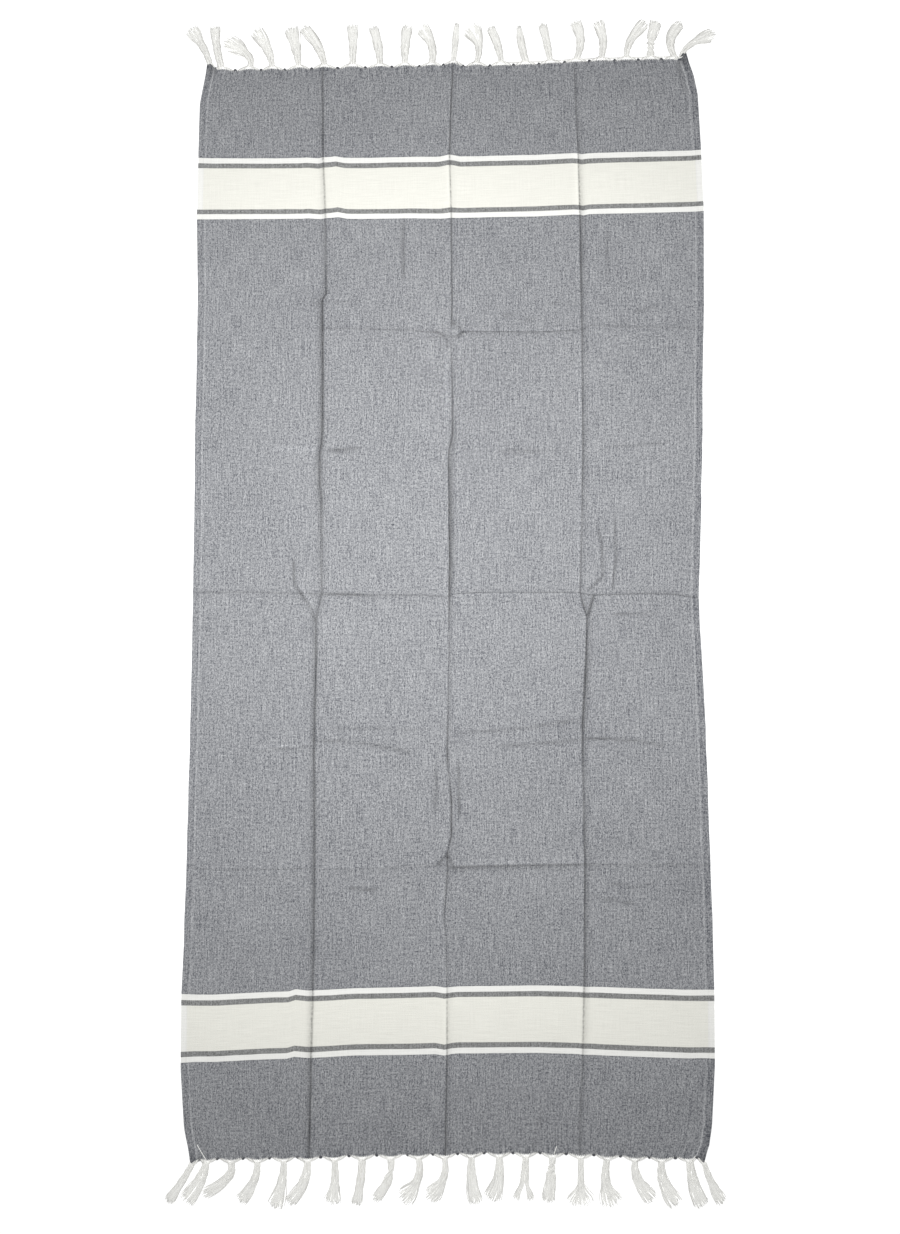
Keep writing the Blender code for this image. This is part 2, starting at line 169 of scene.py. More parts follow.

# How each fold looks along its length: its rise in mm (below zero it dips between two low
# shoulders), how much darker the pressed line itself is, partly its pressed yarn and partly painted
# shade, and the painted shade of the cloth on its low side (left or front) and its high side (right or
# back), painted shade below zero and painted light above
Fold = namedtuple("Fold", "place rise line low high")
FOLD_LOOKS = {
    "fold_left": [
        Fold(-905, 2.0, 0.48, -0.34, -0.10),
        Fold(-640, 2.6, 0.40, -0.30, -0.05),
        Fold(-441, 3.0, 0.42, -0.34, -0.05),
        Fold(-310, 2.8, 0.40, -0.34, -0.08),
        Fold(-112, 2.8, 0.48, -0.36, -0.06),
        Fold(-20, 1.6, 0.24, -0.20, -0.14),
        Fold(70, 2.0, 0.20, -0.20, -0.16),
        Fold(200, 2.6, 0.22, -0.44, -0.32),
        Fold(300, 2.8, 0.50, -0.44, -0.12),
        Fold(430, 3.0, 0.62, -0.48, -0.04),
        Fold(570, 2.4, 0.24, -0.22, -0.04),
        Fold(745, 2.2, 0.46, -0.20, -0.04),
        Fold(905, 1.8, 0.45, -0.10, -0.04),
    ],
    "fold_middle": [
        Fold(-905, 1.8, 0.36, -0.04, -0.26),
        Fold(-776, 1.9, 0.38, 0.02, -0.18),
        Fold(-640, 2.0, 0.24, 0.08, -0.10),
        Fold(-545, 2.2, 0.18, 0.10, -0.08),
        Fold(-500, 2.2, 0.36, 0.08, -0.08),
        Fold(-420, 2.4, 0.46, 0.05, -0.08),
        Fold(-340, 2.2, 0.70, 0.06, -0.10),
        Fold(-300, 2.0, 0.26, 0.05, -0.08),
        Fold(-270, 2.2, 0.56, 0.06, -0.08),
        Fold(-180, 2.0, 0.24, 0.04, -0.12),
        Fold(-60, 1.4, 0.18, 0.06, -0.12),
        Fold(10, 2.0, 0.44, 0.10, -0.48),
        Fold(130, 2.0, 0.37, 0.08, -0.50),
        Fold(220, 1.8, 0.18, 0.02, -0.42),
        Fold(290, 1.6, 0.40, -0.04, -0.08),
        Fold(390, 2.0, 0.36, 0.02, -0.08),
        Fold(404, 1.6, 0.10, 0.02, -0.02),
        Fold(446, 1.4, 0.10, 0.02, -0.02),
        Fold(455, 2.2, 0.54, 0.06, -0.06),
        Fold(560, 2.2, 0.46, 0.07, -0.06),
        Fold(700, 2.0, 0.42, 0.08, -0.06),
        Fold(820, 1.9, 0.58, 0.10, -0.06),
        Fold(905, 1.8, 0.50, 0.02, -0.05),
    ],
    "fold_right": [
        Fold(-905, 1.8, 0.11, -0.10, -0.18),
        Fold(-776, 2.0, 0.16, -0.06, -0.18),
        Fold(-640, 2.4, 0.29, -0.02, -0.24),
        Fold(-441, 2.8, 0.36, 0.08, -0.28),
        Fold(-310, 2.6, 0.27, 0.02, -0.16),
        Fold(-145, 2.4, 0.60, -0.08, -0.52),
        Fold(-60, 2.0, 0.45, 0.08, -0.30),
        Fold(10, 1.4, 0.36, 0.06, -0.16),
        Fold(100, 1.8, 0.24, 0.15, -0.12),
        Fold(250, 2.0, 0.38, 0.16, -0.26),
        Fold(370, 2.2, 0.27, 0.02, -0.14),
        Fold(570, 2.4, 0.36, 0.06, -0.40),
        Fold(745, 2.2, 0.28, 0.08, -0.20),
        Fold(905, 1.8, 0.15, 0.02, -0.14),
    ],
    "fold_front": [
        Fold(-430, -0.8, 0.10, 0.04, -0.03),
        Fold(-230, -1.0, 0.14, 0.04, -0.03),
        Fold(-205, 1.0, 0.06, -0.02, 0.00),
        Fold(-10, 1.2, 0.07, -0.03, 0.00),
        Fold(10, 2.8, 0.36, -0.20, 0.05),
        Fold(205, 2.4, 0.32, -0.18, 0.05),
        Fold(230, 1.2, 0.14, -0.04, 0.00),
        Fold(415, 1.0, 0.10, -0.03, 0.00),
    ],
    "fold_across": [
        Fold(-430, 1.2, 0.17, -0.04, -0.03),
        Fold(-215, 1.6, 0.20, -0.05, -0.04),
        Fold(-195, 1.6, 0.26, -0.05, -0.03),
        Fold(-10, 1.2, 0.24, -0.04, -0.03),
        Fold(10, -1.4, 0.17, 0.06, -0.06),
        Fold(205, -1.6, 0.17, 0.05, -0.05),
        Fold(230, -1.6, 0.34, 0.04, -0.08),
        Fold(415, -1.4, 0.32, 0.04, -0.08),
    ],
    "fold_back": [
        Fold(-430, 0.2, 0.00, 0.00, 0.00),
        Fold(-222, 0.3, 0.03, 0.00, 0.00),
        Fold(-208, 1.2, 0.19, -0.03, 0.00),
        Fold(-10, 1.6, 0.24, -0.05, 0.00),
        Fold(10, -1.4, 0.27, -0.15, 0.05),
        Fold(205, -1.8, 0.26, -0.14, 0.04),
        Fold(230, 1.4, 0.21, -0.06, 0.00),
        Fold(415, 1.0, 0.17, -0.05, 0.00),
    ],
}
LENGTHWISE_FOLDS = ("fold_left", "fold_middle", "fold_right")
CROSSWISE_FOLDS = ("fold_front", "fold_across", "fold_back")
FOLD_REACH = 12 * MM  # how far from the line the cloth is lifted and given painted shade and light
LINE_WIDTH = 1.15 * MM  # half the pressed line

# Lesser creases where the folded towel slipped or was pressed double, and where its corners are
# drawn together: both ends and the half width in mm, and the painted shade along each, painted light
# where above zero
Crease = namedtuple("Crease", "start_x start_y end_x end_y width shade")
MINOR_CREASES = [
    Crease(-235, 487, -163, 489, 2.0, -0.18),
    Crease(165, 486, 214, 486, 2.0, -0.24),
    Crease(87, 469, 140, 457, 2.0, -0.26),
    Crease(301, 471, 352, 483, 2.0, -0.24),
    Crease(-214, 235, -148, 241, 2.0, -0.46),
    Crease(-290, 241, -219, 240, 2.0, 0.24),
    Crease(83, 238, 191, 234, 2.2, -0.20),
    Crease(249, 241, 357, 249, 2.2, -0.18),
    Crease(-200, -222, -48, -225, 2.2, -0.16),
    Crease(-217, -242, -142, -247, 2.2, -0.30),
    Crease(-142, -247, -66, -262, 2.2, -0.36),
    Crease(8, -232, 122, -223, 2.2, -0.24),
    Crease(122, -223, 213, -209, 2.2, -0.30),
    Crease(75, -254, 213, -242, 2.2, -0.26),
    Crease(220, -239, 300, -243, 2.2, -0.42),
    Crease(300, -243, 350, -252, 2.2, -0.30),
    Crease(-318, -256, -226, -248, 1.8, 0.20),
    Crease(-318, -260, -226, -252, 2.0, -0.20),
    Crease(-164, -481, -122, -483, 2.2, -0.48),
    Crease(254, -472, 294, -478, 2.0, -0.26),
    Crease(294, -478, 328, -475, 2.0, -0.22),
    Crease(233, -494, 293, -505, 2.0, -0.28),
    Crease(268, -36, 338, -37, 2.0, -0.34),
    Crease(-257, 52, -256, 14, 1.7, -0.50),
    Crease(-256, 14, -232, -20, 2.2, -0.44),
    Crease(-232, -20, -221, -45, 2.2, -0.40),
    Crease(-250, 16, -226, -18, 1.8, 0.30),
    Crease(-203, -2, -150, -4, 2.2, -0.20),
    Crease(-152, -4, -120, -10, 2.0, -0.14),
    Crease(4, 290, 4, 2, 3.6, -0.10),
    Crease(243, 108, 250, 80, 1.9, -0.42),
    Crease(250, 80, 251, 27, 1.8, -0.40),
    Crease(251, 27, 228, 3, 2.2, -0.42),
    Crease(271, 126, 273, 62, 1.8, -0.40),
    Crease(273, 62, 267, 5, 2.0, -0.46),
    Crease(268, 62, 263, 8, 1.6, 0.16),
    Crease(236, -5, 226, -40, 2.4, -0.60),
    Crease(-77, 632, -77, 527, 1.9, -0.30),
    Crease(264, 614, 263, 536, 2.2, -0.17),
    Crease(151, -814, 132, -891, 2.2, -0.16),
    Crease(14, -278, 15, -368, 1.9, -0.42),
    Crease(-23, -281, -21, -356, 1.9, -0.34),
    Crease(3, 455, 21, 440, 2.2, -0.40),
    Crease(25, 439, 11, 427, 2.2, -0.36),
    Crease(-24, 439, -13, 431, 2.0, -0.26),
    Crease(-13, 431, -6, 427, 2.2, -0.36),
    Crease(-5, 427, -5, 409, 2.2, -0.38),
    Crease(-41, 427, -14, 430, 2.0, -0.18),
    Crease(-6, 430, -6, 284, 1.4, 0.26),
    Crease(6, -246, 7, -350, 1.3, -0.12),
    Crease(-5, -427, -20, -443, 2.2, -0.40),
    Crease(-5, -427, 5, -446, 2.2, -0.40),
    Crease(-13, -468, -17, -540, 1.6, 0.22),
    Crease(386, 908, 391, 886, 3.0, -0.24),
    Crease(391, 886, 399, 852, 3.0, -0.18),
    Crease(378, 902, 382, 882, 2.4, 0.10),
    Crease(28, -880, 32, -896, 1.8, -0.50),
    Crease(-399, -892, -399, -906, 1.6, -0.45),
    Crease(-403, -892, -403, -906, 1.6, 0.22),
    Crease(-419, 433, -418, 426, 1.9, -0.55),
]

# Where the lesser creases lie, the net has closer lines: runs of them in mm, along y and across x
Run = namedtuple("Run", "start stop step")
CLOSER_ALONG = [
    Run(-505, -490, 5), Run(-484, -472, 4), Run(-270, -262, 8), Run(-258, -222, 4),
    Run(-217, -211, 6), Run(-46, -38, 4), Run(-35, -19, 4), Run(13, 38, 5),
    Run(44, 44, 1), Run(230, 234, 4), Run(237, 246, 3), Run(250, 250, 1),
    Run(409, 423, 7), Run(460, 480, 5), Run(484, 493, 3),
]
CLOSER_ACROSS = [
    Run(-262, -259, 3), Run(-257, -253, 2), Run(-250, -226, 3), Run(-190, -184, 6),
    Run(-81, -72, 3), Run(-25, -22, 3), Run(-18, -18, 1), Run(14, 23, 3),
    Run(229, 235, 3), Run(239, 242, 3), Run(244, 248, 2), Run(251, 255, 4),
    Run(262, 274, 3), Run(278, 278, 1), Run(293, 295, 2), Run(382, 387, 5),
    Run(391, 396, 5),
]

# The tables have a place of their own, which is moved to where the cloth's node lies
cloth_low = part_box("cloth")[0]
towel_shift = Vector((cloth_low.x - TABLE_LEFT, cloth_low.y - TABLE_FRONT, 0.0))


def read(table, column, places):
    """A named column of a table at the given places, on straight lines between its rows."""
    values = np.array(table, float) * MM
    return np.interp(places, values[:, 0], values[:, table[0]._fields.index(column)])


def net_lines(anchors, folds, closer_runs):
    """Places for the net's lines between the first and last anchor, closer beside folds."""
    first, *_, last = anchors.values()
    places = [first + step * MM for step in EDGE_STEPS]
    places += [last - step * MM for step in EDGE_STEPS]
    for fold in folds:
        places += [anchors[fold] + side * step * MM for step in FOLD_STEPS for side in (-1, 1)]
    near_fold = FOLD_STEPS[-1] * MM
    for run in closer_runs:
        for place in range(run.start, run.stop + 1, run.step):
            if all(abs(place * MM - anchors[fold]) > near_fold for fold in folds):
                places.append(place * MM)
    places = sorted(set(places))
    filled = [places[0]]
    for start, stop in zip(places, places[1:]):
        cuts = max(1, round((stop - start) / PANEL_STEP))
        filled += [start + (stop - start) * (cut + 1) / cuts for cut in range(cuts)]
    return np.array(filled)


def crossings(table, anchors, lines, places):
    """Where lines that are set between the anchors come to lie at each place of the table.

    The result has a row for each line.
    """
    anchor_places = np.array([read(table, name, places) for name in anchors])
    anchors = np.array(list(anchors.values()))
    after = np.clip(np.searchsorted(anchors, lines, side="right"), 1, len(anchors) - 1)
    share = (lines - anchors[after - 1]) / (anchors[after] - anchors[after - 1])
    share = share[:, None]
    return anchor_places[after - 1] * (1 - share) + anchor_places[after] * share


def fold_height(distance, rise):
    """A ridge with hollow sides, or two low shoulders beside a line that stays down."""
    nearness = np.clip(1 - np.abs(distance) / FOLD_REACH, 0, 1)
    ridge = np.maximum(rise, 0) * nearness ** 2
    beside = np.abs(distance) / SHOULDER
    trough = np.maximum(-rise, 0) * beside * np.exp(1 - beside) * (nearness > 0) * nearness ** 0.3
    return ridge + trough


def fold_shade(distance, looks, places):
    """The painted light and shade beside a fold, and its darker pressed line, partly painted shade."""
    line = read(looks, "line", places) / MM
    low = read(looks, "low", places) / MM
    high = read(looks, "high", places) / MM
    nearness = np.clip(1 - np.abs(distance) / FOLD_REACH, 0, 1)
    flank = np.where(distance < 0, low, high) * nearness ** 1.6
    return flank - line * np.exp(-((distance / LINE_WIDTH) ** 2))


def slow_wave(x, y):
    """Smooth noise about 0.5, in two octaves."""
    return 0.5 + noise.fractal((x / WAVE_LENGTH, y / WAVE_LENGTH, WAVE_SLICE), 1.0, 2.0, 2)


# The net of the flat cloth, held by its edges and folds on the towel's two middle lines, and where
# each of its crossings comes to lie
across_anchors = {name: read(LENGTHS, name, 0.0) for name in Length._fields[1:]}
along_anchors = {name: read(WIDTHS, name, 0.0) for name in Width._fields[1:]}
across_lines = net_lines(across_anchors, LENGTHWISE_FOLDS, CLOSER_ACROSS)
along_lines = net_lines(along_anchors, CROSSWISE_FOLDS, CLOSER_ALONG)
net_x = crossings(LENGTHS, across_anchors, across_lines, along_lines).T
net_y = crossings(WIDTHS, along_anchors, along_lines, across_lines)

# Its height and its painted shade and light, from the folds, the lesser creases and the waves
net_height = np.zeros_like(net_x)
net_shade = np.zeros_like(net_x)
to_end = np.minimum(along_lines - along_lines[0], along_lines[-1] - along_lines)[:, None]
fade = np.clip(to_end / END_FADE, 0, 1)
for name in LENGTHWISE_FOLDS:
    distance = (across_lines - across_anchors[name])[None, :]
    rise = read(FOLD_LOOKS[name], "rise", along_lines)[:, None] * fade
    net_height = np.maximum(net_height, fold_height(distance, rise))
    net_shade += fold_shade(distance, FOLD_LOOKS[name], along_lines[:, None])
for name in CROSSWISE_FOLDS:
    distance = (along_lines - along_anchors[name])[:, None]
    rise = read(FOLD_LOOKS[name], "rise", across_lines)[None, :]
    net_height = np.maximum(net_height, fold_height(distance, rise))
    net_shade += fold_shade(distance, FOLD_LOOKS[name], across_lines[None, :])
for crease in MINOR_CREASES:
    start = np.array((crease.start_x, crease.start_y)) * MM
    run = np.array((crease.end_x, crease.end_y)) * MM - start
    from_start = np.stack((net_x - start[0], net_y - start[1]), axis=-1)
    share = from_start @ run / (run @ run)
    off = np.linalg.norm(from_start - np.clip(share, 0, 1)[..., None] * run, axis=-1)
    taper = np.clip(5 * np.minimum(share, 1 - share) + 0.5, 0, 1)  # half as strong at its ends
    crossed = taper * np.exp(-((off / (crease.width * MM)) ** 2))
    net_shade += crease.shade * crossed
    net_height += MINOR_HEIGHT * crossed
net_shade = np.clip(net_shade, DARKEST_SHADE, LIGHTEST_SHADE)
waves = np.array([[slow_wave(x, y) for x, y in zip(*row)] for row in zip(net_x, net_y)])
net_height += WAVE_HEIGHT * np.clip(waves, 0, 1.2) * fade


def end_bulge(roots, outward, x):
    """How far the cloth's end is drawn out at x: most at a tassel's root, least between two."""
    away = np.min(np.abs(x[..., None] - np.array(roots) * MM), axis=-1)
    bulge = END_BULGE * np.clip(1 - away / BULGE_REACH, 0, 1)
    return np.where((outward > 0) & (x > BRIDGED_FROM * MM), bulge * BRIDGED_BULGE, bulge)


def horn_share(corner, from_side):
    """How much of a corner's horn is left, from 1 to 0, at a distance from its selvedge."""
    return np.clip((corner.wide - from_side / MM) / (corner.wide - corner.flat), 0, 1)


for roots, outward, row in ((BACK_ROOTS, 1, -1), (FRONT_ROOTS, -1, 0)):
    near_end = np.clip(1 - np.abs(along_lines - along_lines[row]) / (EDGE_STEPS[-1] * MM), 0, 1)
    bulge = end_bulge(roots, outward, net_x[row])
    net_y += outward * near_end[:, None] * bulge[None, :]
for corner in CORNERS:
    row = -1 if corner.outward > 0 else 0
    column = 0 if corner.side < 0 else -1
    from_end = np.abs(along_lines - along_lines[row])
    near_end = np.clip(1 - from_end / HORN_STRETCH, 0, 1)
    near_side = horn_share(corner, np.abs(across_lines - across_lines[column]))
    net_y += corner.outward * corner.reach * MM * near_end[:, None] ** 2 * near_side[None, :]
    dark = np.clip(1 - from_end / HORN_DARK, 0, 1)
    net_shade -= corner.shade * dark[:, None] * (near_side[None, :] > 0)

# A grid's points run row by row from the front left, as the net's crossings do
bpy.ops.object.select_all(action="DESELECT")
bpy.ops.mesh.primitive_grid_add(
    x_subdivisions=len(across_lines) - 1, y_subdivisions=len(along_lines) - 1, size=1.0
)
cloth = bpy.context.object
cloth.name = "towel_cloth"
mesh = cloth.data
assert len(mesh.vertices) == net_x.size
places = np.stack((net_x + towel_shift.x, net_y + towel_shift.y, net_height), axis=-1)
mesh.vertices.foreach_set("co", places.reshape(-1))
# The cloth's painted shade and light from the folds and creases, with the darker horns, is kept at each
# point
mesh.attributes.new("fold_shade", "FLOAT", "POINT").data.foreach_set("value", net_shade.reshape(-1))

# The map gives each point its place in the flat cloth, in metres from the middle
flat_u, flat_v = np.meshgrid(across_lines, along_lines)
flat = np.stack((flat_u, flat_v), axis=-1).reshape(-1, 2)
corners = np.zeros(len(mesh.loops), np.int32)
mesh.loops.foreach_get("vertex_index", corners)
mesh.uv_layers[0].name = "flat_cloth"
mesh.uv_layers["flat_cloth"].data.foreach_set("uv", flat[corners].reshape(-1))
mesh.update()
bpy.ops.object.modifier_add(type="SOLIDIFY")
cloth.modifiers["Solidify"].thickness = CLOTH_THICKNESS
cloth.modifiers["Solidify"].offset = 1.0
bpy.ops.object.modifier_apply(modifier="Solidify")
bpy.ops.object.shade_smooth_by_angle(angle=math.radians(60))


class Wire:
    """A socket in a material, on which arithmetic adds Math nodes."""

    def __init__(self, tree, socket=None):
        self.tree = tree
        self.socket = socket

    def node(self, kind, settings=None, inputs=None, output=0):
        """Adds a node: first its settings, then the values or links of its sockets."""
        node = self.tree.nodes.new(kind)
        for name, value in (settings or {}).items():
            setattr(node, name, value)
        for name, value in (inputs or {}).items():
            if isinstance(value, Wire):
                self.tree.links.new(value.socket, node.inputs[name])
            else:
                node.inputs[name].default_value = value
        return Wire(self.tree, node.outputs[output] if len(node.outputs) else None)

    def also(self, output):
        """Another output of the same node."""
        return Wire(self.tree, self.socket.node.outputs[output])

    def maths(self, operation, first, second=0.0):
        """A Math node on one or two values."""
        return self.node("ShaderNodeMath", {"operation": operation}, {0: first, 1: second})

    def __add__(self, other):
        return self.maths("ADD", self, other)

    __radd__ = __add__

    def __sub__(self, other):
        return self.maths("SUBTRACT", self, other)

    def __rsub__(self, other):
        return self.maths("SUBTRACT", other, self)

    def __mul__(self, other):
        return self.maths("MULTIPLY", self, other)

    __rmul__ = __mul__

    def __abs__(self):
        return self.maths("ABSOLUTE", self)

    def least(self, other):
        """The lesser of the two."""
        return self.maths("MINIMUM", self, other)

    def wave(self, length):
        """From -1 to 1 and back over each length."""
        return self.maths("SINE", self * (2 * math.pi / length))

    def under(self, limit, soft):
        """1 where this value is under the limit and 0 above it, with a soft step."""
        return self.node("ShaderNodeMapRange", {"interpolation_type": "SMOOTHSTEP"}, {
            "Value": self,
            "From Min": limit - soft,
            "From Max": limit + soft,
            "To Min": 1.0,
            "To Max": 0.0,
        })

    def between(self, first, last, soft):
        """1 between two limits and 0 outside them, with soft steps."""
        return self.under(last, soft) - self.under(first, soft)

    def kept(self, least, most):
        """Kept between two values."""
        return self.node("ShaderNodeClamp", {}, {"Value": self, "Min": least, "Max": most})

    def mix(self, low, high):
        """A colour from low to high, as this value goes from 0 to 1."""
        return self.node("ShaderNodeMix", {"data_type": "RGBA"}, {0: self, 6: low, 7: high}, output=2)

    def shaded(self, amount):
        """This colour, made darker or lighter by an amount."""
        settings = {"data_type": "RGBA", "blend_type": "MULTIPLY"}
        return self.node("ShaderNodeMix", settings, {0: 1.0, 6: self, 7: amount}, output=2)

    def attribute(self, name):
        """A value that the mesh holds at its points."""
        return self.node("ShaderNodeAttribute", {"attribute_name": name}).also("Fac")

    def patches(self, scale):
        """Uneven patches from 0 to 1 in the piece's own coordinates, so many in a metre."""
        place = self.node("ShaderNodeTexCoord").also("Object")
        return self.node("ShaderNodeTexNoise", {}, {"Vector": place, "Scale": scale, "Detail": 2.0})

    def bump(self, strength, height):
        """A normal from this value, which stands for that height at 1."""
        settings = {"Strength": strength, "Distance": height, "Height": self}
        return self.node("ShaderNodeBump", {}, settings)

    def speckle(self, wide, long, detail=2.0):
        """Uneven patches about that wide and long, from -1 to 1, on these flat coordinates."""
        scale = {0: self, 1: (1 / wide, 1 / long, 1.0)}
        place = self.node("ShaderNodeVectorMath", {"operation": "MULTIPLY"}, scale)
        patches = self.node("ShaderNodeTexNoise", {"noise_dimensions": "2D"}, {
            "Vector": place, "Scale": 1.0, "Detail": detail,
        })
        return (patches - 0.5) * 4.0


def new_material(name):
    """A material with an empty tree, and the start of its wiring."""
    material = bpy.data.materials.new(name)
    material.use_nodes = True
    material.node_tree.nodes.clear()
    return material, Wire(material.node_tree)


def finish_material(start, color, roughness, normal, sheen, glow=0.0):
    """Adds the surface itself.

    The glow is painted light; it stands for light that loose white fibres pass on among themselves many
    times over.
    """
    surface = start.node("ShaderNodeBsdfPrincipled", {}, {
        "Emission Color": PAINTED_GLOW_COLOR,
        "Emission Strength": glow,
        "Base Color": color,
        "Roughness": roughness,
        "Normal": normal,
        "Sheen Weight": sheen,
        "Sheen Roughness": 0.6,
        "Specular IOR Level": 0.25,
    })
    start.node("ShaderNodeOutputMaterial", {}, {"Surface": surface})


# Colour of the painted glow
PAINTED_GLOW_COLOR = (1.0, 0.99, 0.96, 1.0)
CREAM_WARP = (0.82, 0.83, 0.84, 1.0)
DARK_WEFT = (0.048, 0.053, 0.070, 1.0)
DARK_STRIPE_WEFT = (0.060, 0.060, 0.055, 1.0)
CREAM_WEFT = (0.84, 0.835, 0.77, 1.0)
WHITE_WEFT = (0.89, 0.89, 0.86, 1.0)
WARP_PITCH = 0.8 * MM
WEFT_PITCH = 0.9 * MM
GROUND_SHARE = 0.292  # how much of the ground's face is cream warp
STRIPE_SHARE = 0.245  # and of a dark stripe's
FRONT_BAND_DRAWN = 1.011  # the front band is a little narrower, and the back band wider
BACK_BAND_DRAWN = 0.975
BACK_BAND_NARROWS = 0.04  # towards the right, in each metre
CREAM_HALF = 36 * MM  # these four are measured from a band's middle line
DARK_STRIPE_END = 44.5 * MM
WHITE_STRIPE_END = 53.5 * MM
BEAT_LINE_END = 55.3 * MM  # a line of closer weft beside the white stripe
STRIPE_SOFT = 0.5 * MM  # how soft the edges of the stripes are
STRIPE_WAVER = 0.25 * MM  # and how far they waver with the slubs
SELVEDGE_WIDTH = 9.6 * MM
SELVEDGE_SOFT = 0.4 * MM
SELVEDGE_RIB = 2.1 * MM
DARK_WARP_START = SELVEDGE_WIDTH - 2 * MM  # its inner threads are a little darker
GATHERED_END = 14 * MM  # the gathering draws the warp into small streaks up to here
DRAWN_IN_END = 60 * MM  # and the selvedges, drawn in at the corners, are closer and darker here
PALE_WARP_START = 11.4 * MM  # a thicker pale warp thread runs beside the selvedge
PALE_WARP_END = 13.7 * MM

cloth_material, start = new_material("cotton_melange")
flat_place = start.node("ShaderNodeUVMap", {"uv_map": "flat_cloth"})
u = start.node("ShaderNodeSeparateXYZ", {}, {"Vector": flat_place})
v = u.also("Y")
weave = u.wave(2 * WARP_PITCH) * v.wave(2 * WEFT_PITCH)
fine = flat_place.speckle(1.6 * MM, 2.2 * MM)
flecks = flat_place.speckle(3.0 * MM, 4.6 * MM, 1.0)
warp_streaks = flat_place.speckle(1.7 * MM, 42 * MM, 1.0)
weft_slubs = flat_place.speckle(38 * MM, 1.5 * MM, 1.0)
clouds = flat_place.speckle(140 * MM, 180 * MM, 1.0)
uneven = fine * 0.185 + flecks * 0.10 + warp_streaks * 0.075 + weft_slubs * 0.035

# How much cream warp shows in the ground, less or more at the selvedges, bands and ends
inset = (u - across_anchors["left"]).least(across_anchors["right"] - u)
selvedge = inset.under(SELVEDGE_WIDTH, SELVEDGE_SOFT)
pale_warp = inset.between(PALE_WARP_START, PALE_WARP_END, STRIPE_SOFT)
dark_warp = inset.between(DARK_WARP_START, SELVEDGE_WIDTH, STRIPE_SOFT)
from_front_band = abs(v - along_anchors["band_front"]) * FRONT_BAND_DRAWN
from_back_band = abs(v - along_anchors["band_back"]) * (BACK_BAND_DRAWN + u * BACK_BAND_NARROWS)
from_band = from_front_band.least(from_back_band) + weft_slubs * STRIPE_WAVER
beat_line = from_band.under(BEAT_LINE_END, STRIPE_SOFT)
share = GROUND_SHARE + weave * 0.09 + uneven + clouds * 0.012
from_end = (v - along_anchors["front"]).least(along_anchors["back"] - v)
drawn_in = from_end.under(DRAWN_IN_END, DRAWN_IN_END * 0.8)
closer = 0.035 + u * 0.045 + drawn_in * 0.03
share = share - beat_line * 0.05 - selvedge * (closer + u.wave(SELVEDGE_RIB) * 0.03)
share = share + pale_warp * (0.10 + drawn_in * 0.08) - dark_warp * 0.035
gathered = from_end.under(GATHERED_END, GATHERED_END * 0.9)
share = share + gathered * (flat_place.speckle(4 * MM, 26 * MM, 1.0) * 0.08 - 0.014)
ground = share.kept(0.02, 0.95).mix(DARK_WEFT, CREAM_WARP)
dark = (STRIPE_SHARE + weave * 0.06 + uneven * 0.6).kept(0.02, 0.9).mix(DARK_STRIPE_WEFT, CREAM_WARP)

# The stripes and bands are laid over the ground, and painted shade and light from the folds and creases
# darken or lighten them all
pale_uneven = 1 + fine * 0.022 + weft_slubs * 0.035 + warp_streaks * 0.02 + weave * 0.03
pale_uneven = pale_uneven - dark_warp * 0.05
white = start.node("ShaderNodeRGB")
white.socket.default_value = WHITE_WEFT
cream = selvedge.mix(CREAM_WEFT, WHITE_WEFT).shaded(pale_uneven)
color = from_band.under(WHITE_STRIPE_END, STRIPE_SOFT).mix(ground, white.shaded(pale_uneven))
color = from_band.under(DARK_STRIPE_END, STRIPE_SOFT).mix(color, dark)
color = from_band.under(CREAM_HALF, STRIPE_SOFT).mix(color, cream)
painted_light_and_shade = start.attribute("fold_shade")
color = color.shaded(1 + painted_light_and_shade * (1 + flecks * 0.35))
relief = (weave * 0.5 + fine * 0.5 + weft_slubs * 0.4).bump(0.5, 0.25 * MM)
finish_material(start, color, (0.86 + fine * 0.05).kept(0.6, 1.0), relief, sheen=0.08)
cloth.data.materials.clear()
cloth.data.materials.append(cloth_material)
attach(cloth, "root")
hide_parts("cloth")

# ----------------------------------------------------------------------------------- Fringes
# The warp is left uncut at both ends. Its threads are gathered about twenty times across the
# width, and each gathering is parted into two plies that are twisted round each other and left
# to open into a brush, with no knot at the tip.

THREADS = 44  # in a tassel
RINGS = 15  # along each
SIDES = 5  # and around it
THREAD_RADIUS = 0.52 * MM
ROOT_DEPTH = 6.0 * MM  # the plies begin this far out from the cloth's end
HORN_GRIP = 1.0 * MM  # and those of a corner's tassel this far past its horn
THREAD_TURN = 2.4  # radians from each thread to the next, so that they fill the plies evenly
PLY_TWIST = 2.5 * math.pi  # how far they wind round within it, from the root to the tip
PLY_HEIGHT = 1.5 * MM  # half the height of a ply at its root
BRUSH_HEIGHT = 1.4 * MM
STEM_FULLNESS = 1.18  # the few threads at a stem's sides stand out by this much
WAVER = 0.6 * MM  # of the threads in the brush
STRAY_CHANCE = 0.05  # of each thread
STRAY_REACH = 1.12  # a stray thread lies this many times as far from the middle
UNEVEN_TIPS = 0.08  # the threads end up to this share of the length short of the tip
TIP_START = 0.84  # from this share of the length on they thin out and get less painted shade, as they lie in more light
EDGE_THREADS = 7  # on each side of a root
EDGE_SHADED = (0, 3)  # the outermost thread and the one between the two bundles get painted shade
EDGE_RINGS = 7
EDGE_RADIUS = THREAD_RADIUS * 1.15
UNDER_WEFT = 1.5 * MM  # they come out from this far inside the cloth's end
EDGE_HEIGHT = 1.3 * MM
BRIDGE_THREADS = 3
BRIDGE_SAG = 1.2  # mm, of the first
BRIDGE_SPACING = 0.9  # mm, how much more each next one sags

